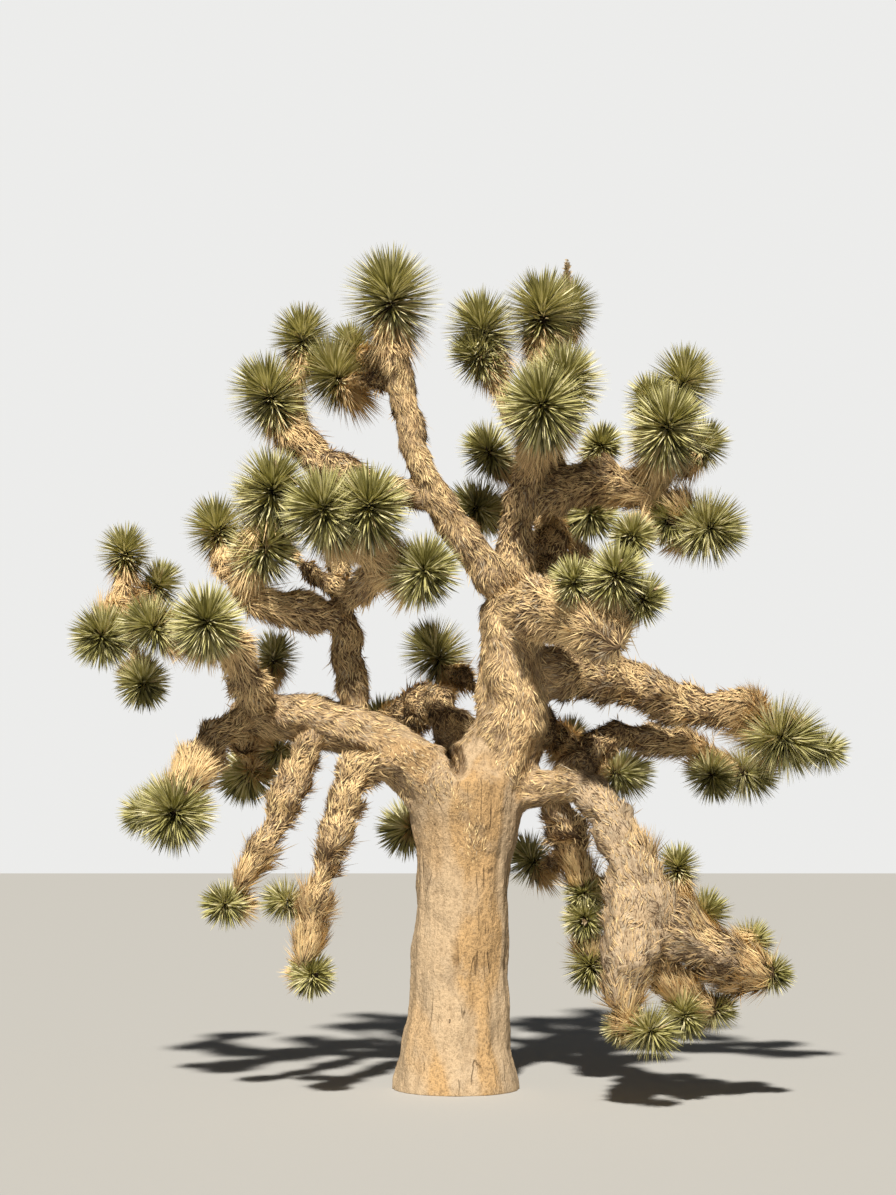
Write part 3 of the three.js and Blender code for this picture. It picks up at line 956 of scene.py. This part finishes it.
def head_gap(places):
    """The distance from each place to the nearest head, less that head's leafy middle."""
    return np.min([away - LEAFY * reach for reach, away in aways(places)], axis=0)


def heart_shade_share(places):
    """1 in the hearts of the heads, where the leaves are rooted and the stems are painted dark as
    shade, and 0 outside them.
    """
    found = aways(places)
    heart_shades = [1 - smoothstep(away, HEART_SHADE[0] * reach, HEART_SHADE[1] * reach) for reach, away in found]
    return np.max(heart_shades, axis=0)


def gap_to(points, line):
    """How far points lie outside a limb's bark."""
    away = np.linalg.norm(points[:, None, :] - line.places[None, ::2, :], axis=2)
    return np.min(away - line.girths[None, ::2], axis=1)


def share_near(places, names):
    """1 on the bark of the named limbs, fading to 0 away from it."""
    gaps = [gap_to(places, line) for line in LINES if line.name in names]
    return smoothstep(-np.min(gaps, axis=0), -0.12, -0.03)


def wood_girths(line, settings):
    """Girth of the wood alone: all of a bare limb, and the core of a shaggy one."""
    shag = shag_share(line.start + line.along, settings)
    return line.girths * (1.0 - (1.0 - settings.core) * shag)


def seeds_on(piece, count, weights, rng):
    """Places spread over a mesh by area and weight, with the outward way at each."""
    mesh = piece.data
    mesh.calc_loop_triangles()
    corners = np.empty(len(mesh.loop_triangles) * 3, np.int32)
    mesh.loop_triangles.foreach_get("vertices", corners)
    corners = corners.reshape(-1, 3)
    points, out = surface(mesh)
    a, b, c = (points[corners[:, n]] for n in range(3))
    area = np.linalg.norm(np.cross(b - a, c - a), axis=1) / 2 * np.mean(weights[corners], axis=1)
    chosen = corners[rng.choice(len(corners), count, p=area / np.sum(area))]
    shares = rng.random((count, 2))
    shares = np.where(np.sum(shares, axis=1, keepdims=True) > 1, 1 - shares, shares)
    shares = np.column_stack([1 - np.sum(shares, axis=1), shares])

    def blend(table):
        return np.sum(table[chosen] * shares[:, :, None], axis=1)

    return blend(points), unit(blend(out)), np.sum(area)


def weights_of(piece, name):
    """What was kept under a name at each vertex."""
    values = np.empty(len(piece.data.vertices), np.float32)
    piece.data.attributes[name].data.foreach_get("value", values)
    return values


def thatch_on(piece, lines, bark, thatch, rng):
    """Dead leaves that lie back over a skin, longer and paler towards the heads."""
    # no dead leaves where the hearts of the heads are painted in shade
    weights = weights_of(piece, "shag") * (1 - weights_of(piece, "heart"))
    weights = weights * (1 - WORN_THIN * weights_of(piece, "worn"))
    area = seeds_on(piece, 1, weights, rng)[2]
    count = int(area * 1e4 / thatch.patch)
    bases, out, _ = seeds_on(piece, count, weights, rng)
    _, headings, walked = straightened(bases, lines)
    age = smoothstep(head_gap(bases), 0.02, 0.34)
    worn, felt = share_near(bases, STUBBLE_LIMBS), share_near(bases, OLD_BOUGHS) * age
    short = thatch.short + (thatch.stubble - thatch.short) * worn
    lengths = thatch.long + (short - thatch.long) * age
    lengths *= rng.uniform(0.6, 1.4, count) * (0.6 + 0.4 * shag_share(walked, bark))
    headings = unit(headings - out * dots(headings, out)[:, None])

    # Some lie flat underneath, painted dark as shade, a few stray, and the rest stand off most
    # where ragged.
    ragged = smoothstep(noise_of(bases, 6.0), -0.1, 0.5) + worn
    under = rng.random(count) < (0.16 + 0.26 * ragged) * age
    stray = (rng.random(count) < 0.05 * age * (1 - 0.5 * felt)) & ~under
    lift = rng.gamma(1.2, 11.0, count) * (0.5 + ragged) * (0.4 + 0.6 * age)
    lift = lift * (1 - 0.6 * felt) * (1 - 0.5 * worn) + 3
    lift = np.where(under, 0.03, np.radians(lift + 16 * stray).clip(0, 1.2))
    lengths *= 1 + 0.55 * stray
    ways = tipped(-headings, out, lift)
    astray = rng.normal(0, 1, count) * (0.14 + 0.26 * age - 0.12 * np.maximum(felt, worn * age))
    swirl = noise_of(bases, 9.0) * age + noise_of(bases, 5.0) * felt
    ways = turned(ways, out, astray + swirl)

    # Under an arm they hang down.
    hanging = smoothstep(-out[:, 2], 0.0, 0.8) * age * (1 - felt)
    ways[:, 2] -= rng.random(count) * (0.08 * age + 0.7 * hanging)
    ways = unit(ways)
    lengths *= 1 + 0.5 * hanging * rng.random(count)
    widths = thatch.width * rng.uniform(0.6, 1.35, count) * (1 - 0.25 * worn * age - 0.2 * felt)
    bend = rng.normal(-0.02, 0.06, count) * (0.3 + 0.7 * age)

    # Each year's leaves have aged alike, in rings along the arm.
    rings = noise_of(np.column_stack([walked, walked * 0, walked * 0]), 9.0) * (1 - felt)
    shade = age * (1.4 + noise_of(bases, 4.5) * 1.5 + rings * 1.2) + rng.normal(0.35, 1.0, count)
    shade = np.where(stray, rng.choice([0, 1], count), shade - felt * 0.15)
    weathered = rng.random(count) < worn * age * 0.8
    shade = np.where(weathered, rng.choice([1, 2, 4, 4, 1], count), shade)
    # the leaves lying underneath take the painted shade
    shade = np.where(under, STRAW_SHADE, np.clip(shade.round(), 0, 4))
    return blades(bases, ways, out, lengths, widths, bend, 0), shade


def rosette(head, leaf, rng):
    """Leaves all round the end of a stem, from straight ahead to well turned back."""
    count = int(leaf.count * (head.reach / HEAD_SIZE) ** 1.15)
    order = (np.arange(count) + rng.random(count)) / count
    tilt = np.arccos(1 - order * (1 - math.cos(leaf.lowest)))
    axis = np.array(head.axis)
    out = around(axis, GOLDEN_TURN * np.arange(count))
    ways = unit(tipped(axis, out, tilt) + rng.normal(0, LEAF_STRAY, (count, 3)))
    seat = axis * ((0.26 - 0.80 * order) * head.reach)[:, None] + out * STEM_END
    reach = (head.reach + leaf.spread) * rng.uniform(0.95, 1.15, count) * (1 + 0.12 * order**2)
    toward = dots(seat, ways)
    lengths = -toward + np.sqrt(toward**2 - dots(seat, seat) + reach**2)
    bases = np.array(head.centre) + seat
    upward = axis + out * 0.001 + rng.normal(0, 0.25, (count, 3))
    widths = leaf.width * rng.uniform(0.8, 1.15, count) * min(1.0, 0.7 + head.reach)
    bend = rng.normal(-0.02, 0.03, count)
    shade = tilt / leaf.lowest * 2.4 + rng.normal(1.0, 1.3, count)
    shade = np.where(shade > 4.5, rng.choice([3, 4, 5], count), shade)
    # Painted shade: some of the leaves that point down are dark.
    shaded_below = rng.random(count) < 0.3 * smoothstep(-ways[:, 2], 0.0, 0.6)
    shade = np.where(shaded_below, LEAF_SHADE, np.clip(shade.round(), 0, 5))
    return blades(bases, ways, upward, lengths, widths, bend, KEEL), shade


def skirt(head, thatch, rng):
    """The dead leaves that hang back from under a head, hugging its stem."""
    count = int(thatch.skirt_count * (head.reach / HEAD_SIZE) ** 1.1)
    axis = np.array(head.axis)
    out = around(axis, rng.random(count) * 2 * math.pi)
    order = rng.random(count)
    tilt = SKIRT_FROM + SKIRT_SPREAD * order + rng.normal(0, SKIRT_UNEVEN, count)
    ways = tipped(axis, out, np.radians(tilt)) + rng.normal(0, SKIRT_STRAY, (count, 3))
    seat = -axis * ((0.42 + 0.45 * order) * head.reach)[:, None]
    bases = np.array(head.centre) + seat + out * 0.035
    lengths = head.reach * rng.uniform(0.65, 1.2, count)
    widths = thatch.width * rng.uniform(0.8, 1.5, count)
    bend = rng.normal(-0.04, 0.05, count)
    shade = 0.5 + rng.normal(0, 0.8, count) + 0.6 * (1 - order)
    leaves = blades(bases, unit(ways), axis + out * 0.5, lengths, widths, bend, 0)
    return leaves, shade.round().clip(0, 4)


def panicle(head, way, length, count, rng):
    """A dried stalk with a cone of husks on its upper half."""
    way = np.array(way)
    foot = np.array(head.centre)
    out = around(way, rng.random(count) * 2 * math.pi)
    share = 1 - 0.6 * rng.random(count) ** 0.7
    husks = unit(out + way * rng.uniform(0.1, 1.4, (count, 1)))
    bases = foot + way * (share * length)[:, None]
    lengths = 0.015 + length * 0.3 * (1.02 - share) * rng.uniform(0.5, 1.2, count)
    stalk, round_it = STALK_LEAVES, out[:STALK_LEAVES]
    bases = np.concatenate([np.repeat(foot[None], stalk, 0), bases])
    ways = np.concatenate([unit(way + round_it * 0.02), husks])
    lengths = np.concatenate([np.full(stalk, length), lengths])
    widths = np.concatenate([np.full(stalk, STALK_WIDTH), np.full(count, HUSK_WIDTH)])
    upward = np.concatenate([round_it, rng.normal(0, 1, (count, 3))])
    total = stalk + count
    return blades(bases, ways, upward, lengths, widths, np.zeros(total), 0), np.zeros(total, int)


# ---- Bark in relief


def relief(piece, lines, bark):
    """Pushes the skin in and out by lumps, furrows and flakes, and keeps what the finish needs."""
    mesh = piece.data
    points, out = surface(mesh)
    post, headings, walked = straightened(points, lines)
    shag = shag_share(walked, bark)
    felt = share_near(points, OLD_BOUGHS)
    patches = smoothstep(noise_of(points * (1, 1, 0.6), 3.5) + walked - bark.felt_from, 0.0, 0.45)
    shag = np.maximum(shag, patches * felt * 0.7)

    # Swellings on all wood, furrows and flakes along it, and collars and knobs under the shag.
    lumps = noise_of(points, 3.1) * 0.7 + noise_of(points, 8.0) * 0.3
    furrows = noise_of(post * (1, 1, 0.14), 17.0)
    flakes = noise_of(post * (1, 1, 0.4), 52.0)
    push = lumps * bark.lumps + furrows * bark.furrows + flakes * bark.flakes
    collars = 0.5 - np.mod(walked / bark.collar_gap + noise_of(points, 2.5) * 0.8, 1)
    collars *= 0.3 + 0.7 * smoothstep(-headings[:, 2], -0.1, 0.5)
    knobs = (noise_of(points, 5.5) + noise_of(points, 13.0) * 0.35) * (1 - 0.5 * felt)
    push += (knobs * bark.knobs + collars * bark.collars * (1 - felt)) * shag
    base = smoothstep(points[:, 2], 0.0, 0.06)

    # The ochre band, and patches of it elsewhere.
    front = out[:, 0] * math.sin(bark.ochre_turn) - out[:, 1] * math.cos(bark.ochre_turn)
    wavy = noise_of(points * (1, 1, 0.35), 5.0)
    ochre = smoothstep(front + wavy * 0.35, 0.84, 1.0) + smoothstep(wavy, 0.25, 0.5) * 0.5
    points += out * (push * (0.5 + 0.5 * base))[:, None]
    mesh.vertices.foreach_set("co", points.astype(np.float32).ravel())
    store(mesh, "post", post, "FLOAT_VECTOR")
    # how far the furrows and flakes sink in, for the painted shade in them
    store(mesh, "crevice", np.clip(-furrows * 0.8 - flakes * 0.7, 0, 1))
    store(mesh, "shag", shag)
    store(mesh, "shaded", shag * (1 - 0.75 * felt))
    store(mesh, "ochre", np.clip(ochre, 0, 1))
    # where the stems are painted dark as shade, in the hearts of the heads
    store(mesh, "heart", heart_shade_share(points))
    store(mesh, "worn", share_near(points, STUBBLE_LIMBS) * smoothstep(head_gap(points), 0.05, 0.3))
    mesh.polygons.foreach_set("use_smooth", np.full(len(mesh.polygons), True))
    mesh.update()


def cut_at_ground(piece):
    """Cuts the foot off flat, a hair above the ground, and closes it."""
    form = bmesh.new()
    form.from_mesh(piece.data)
    parts = [*form.verts, *form.edges, *form.faces]
    cut = UP * CUT_HEIGHT
    bmesh.ops.bisect_plane(form, geom=parts, plane_co=cut, plane_no=UP, clear_inner=True)
    rim = [edge for edge in form.edges if edge.is_boundary]
    bmesh.ops.contextual_create(form, geom=rim)
    form.to_mesh(piece.data)
    form.free()


# ---- Operators


class BarkOperator(bpy.types.Operator):
    """Skins the trunk and the bare boughs with corky bark in relief."""

    bl_idname = "joshua.trunk_bark"
    bl_label = "Trunk and boughs"

    def execute(self, context):
        bark = context.scene.joshua_bark
        lines = [line for line in LINES if line.name in (TRUNK, *BARE_LIMBS)]
        tubes = []
        for line in lines:
            overrun = TRUNK_OVERRUN if line.name == TRUNK else 0.0
            tubes.append(tube(line, wood_girths(line, bark), LIMB_SIDES, overrun))
        nodes = [TRUNK, *FORK, LOW_BOUGH]
        steps = ((bark.trunk_grain * 2, 8), (bark.trunk_grain, 5))
        boughs = [line for line in lines if line.name in FORK]
        hollow = crotch(*boughs, bark.crotch, bark.crotch * 3)
        piece = welded("trunk_bark", tubes, nodes, steps, hollow)
        relief(piece, lines, bark)
        cut_at_ground(piece)
        piece.data.materials.append(bark_finish(bark))
        finish_piece(piece, [TRUNK, *BARE_LIMBS])
        return {"FINISHED"}


class ArmOperator(bpy.types.Operator):
    """Skins the shaggy arms, and the stems that run on into the heads."""

    bl_idname = "joshua.arm_bark"
    bl_label = "Arms and stems"

    def execute(self, context):
        bark = context.scene.joshua_bark
        lines = [line for line in LINES if line.name not in (TRUNK, *BARE_LIMBS)]
        stems = [head.stem for head in HEADS]
        tubes = [tube(line, wood_girths(line, bark), TWIG_SIDES) for line in lines]
        tubes += [tube(stem, stem.girths, STEM_SIDES) for stem in stems]
        arms = welded("arm_bark", tubes, STUBBLE_LIMBS, ((bark.arm_grain, 5),))
        relief(arms, lines + stems, bark)
        arms.data.materials.append(bpy.data.materials["corky_bark"])
        finish_piece(arms, [line.name for line in lines])
        return {"FINISHED"}


class ThatchOperator(bpy.types.Operator):
    """Lays dead leaves back along every shaggy arm and stem."""

    bl_idname = "joshua.thatch"
    bl_label = "Dead thatch"

    def execute(self, context):
        bark, thatch = context.scene.joshua_bark, context.scene.joshua_thatch
        rng = np.random.default_rng(SEEDS["thatch"])
        finishes = leaf_finishes(thatch, STRAWS, 0.75, 0.2)
        lines = LINES + [head.stem for head in HEADS]
        for source, names in (
            ("trunk_bark", ("bough_thatch",)),
            ("arm_bark", ("left_arm_thatch", "right_arm_thatch")),
        ):
            lot = thatch_on(bpy.data.objects[source], lines, bark, thatch, rng)
            for name, part in zip(names, split_blades(*lot, len(names))):
                leaf_piece(name, finishes, [part])
        skirts = (skirt(head, thatch, rng) for head in HEADS)
        leaf_piece("straw_skirts", finishes, skirts)
        return {"FINISHED"}


class LeafOperator(bpy.types.Operator):
    """Sets dagger leaves all round the end of every stem."""

    bl_idname = "joshua.leaves"
    bl_label = "Leaf heads"

    def execute(self, context):
        leaf = context.scene.joshua_leaf
        rng = np.random.default_rng(SEEDS["leaves"])
        finishes = leaf_finishes(leaf, GREENS, 0.42, 0.5)
        middle = (CAD_BOUNDS[0][0] + CAD_BOUNDS[1][0]) / 2
        sides = {mass: sum(corner[0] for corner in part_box(mass)) / 2 > middle for mass in MASSES}
        for name, right in (("left_leaves", False), ("right_leaves", True)):
            masses = [mass for mass in MASSES if sides[mass] == right]
            lots = (rosette(head, leaf, rng) for head in HEADS if head.mass in masses)
            leaf_piece(name, finishes, lots, masses)
        return {"FINISHED"}


class FlowerOperator(bpy.types.Operator):
    """Stands a dried flower stalk on the crown, and leaves its stub in a few other heads."""

    bl_idname = "joshua.flowers"
    bl_label = "Dried flowers"

    def execute(self, context):
        leaf = context.scene.joshua_leaf
        rng = np.random.default_rng(SEEDS["flowers"])
        crown = [head for head in HEADS if head.mass == FLOWERED]
        tallest = max(crown, key=lambda head: head.centre.z)
        stubs = [HEADS[n] for n in rng.choice(len(HEADS), STUBS, replace=False)]
        room = CAD_BOUNDS[1][2] + STALK_ROOM - tallest.centre.z
        lots = [panicle(tallest, UP, room, STALK_HUSKS, rng)]
        for head in stubs:
            length = head.reach * rng.uniform(0.4, 0.75)
            lots.append(panicle(head, head.axis, length, STUB_HUSKS, rng))
        finishes = leaf_finishes(leaf, ["dry_flowers"], 0.8, 0.2)
        leaf_piece("dry_flowers", finishes, lots)
        return {"FINISHED"}


class StageOperator(bpy.types.Operator):
    """Sets the pale floor, the soft studio light and the camera."""

    bl_idname = "joshua.stage"
    bl_label = "Stage"

    def execute(self, context):
        stage = context.scene.joshua_stage
        ways = ((-1, -1), (1, -1), (1, 1), (-1, 1))
        corners = [(x * FLOOR_REACH, y * FLOOR_REACH, 0) for x, y in ways]
        floor = Finish("pale_paper", {"Base Color": stage.floor, "Roughness": 0.9})
        mesh_object("studio_floor", corners, [(0, 1, 2, 3)], [floor.material])
        key = bpy.data.lights.new("key_light", "SUN")
        key.energy, key.angle, key.color = stage.sun_power, stage.sun_size, stage.sun_colour
        lamp = placed("key_light", key)
        lamp.rotation_euler = (math.pi / 2 - stage.sun_height, 0, -stage.sun_turn)
        world = bpy.data.worlds.new("studio")
        studio = Network(world)
        studio.tree.nodes.remove(studio.tree.nodes["Background"])
        glow = {"Color": stage.fill_colour, "Strength": stage.fill}
        light = studio.node("ShaderNodeBackground", {}, glow)
        backdrop = studio.node("ShaderNodeBackground", {}, {"Color": stage.paper})
        seen = studio.node("ShaderNodeLightPath", {}, {}, "Is Camera Ray")
        either = studio.node("ShaderNodeMixShader", {}, {0: seen, 1: light, 2: backdrop})
        studio.fill(studio.tree.nodes["World Output"], {"Surface": either})
        context.scene.world = world
        lens = bpy.data.cameras.new("camera")
        lens.lens, lens.clip_end = stage.camera_lens, SIGHT_END
        camera = placed("camera", lens)
        camera.location = (-stage.camera_left, -stage.camera_away, stage.camera_height)
        camera.rotation_euler = (math.pi / 2 + stage.camera_pitch, 0, 0)
        context.scene.camera = camera
        context.scene.view_settings.view_transform = "Standard"
        return {"FINISHED"}


class TreePanel(bpy.types.Panel):
    """Lists the tree's settings and its operators."""

    bl_idname = "VIEW3D_PT_joshua"
    bl_label = "Joshua Tree"
    bl_space_type = "VIEW_3D"
    bl_region_type = "UI"
    bl_category = "Joshua Tree"

    def draw(self, context):
        for key, group in SETTINGS.items():
            box = self.layout.box()
            for name in group.__annotations__:
                box.prop(getattr(context.scene, key), name)
        for operator in OPERATORS:
            self.layout.operator(operator.bl_idname)


SETTINGS = {
    "joshua_bark": BarkSettings,
    "joshua_thatch": ThatchSettings,
    "joshua_leaf": LeafSettings,
    "joshua_stage": StageSettings,
}
OPERATORS = (BarkOperator, ArmOperator, ThatchOperator, LeafOperator, FlowerOperator, StageOperator)


def register():
    for group in (*SETTINGS.values(), *OPERATORS, TreePanel):
        bpy.utils.register_class(group)
    for key, group in SETTINGS.items():
        setattr(bpy.types.Scene, key, bpy.props.PointerProperty(type=group))


def unregister():
    for key in SETTINGS:
        delattr(bpy.types.Scene, key)
    for group in (TreePanel, *OPERATORS[::-1], *list(SETTINGS.values())[::-1]):
        bpy.utils.unregister_class(group)


def main():
    register()
    bpy.ops.joshua.stage()
    bpy.ops.joshua.trunk_bark()
    bpy.ops.joshua.arm_bark()
    bpy.ops.joshua.thatch()
    bpy.ops.joshua.leaves()
    bpy.ops.joshua.flowers()


if __name__ == "__main__":
    main()
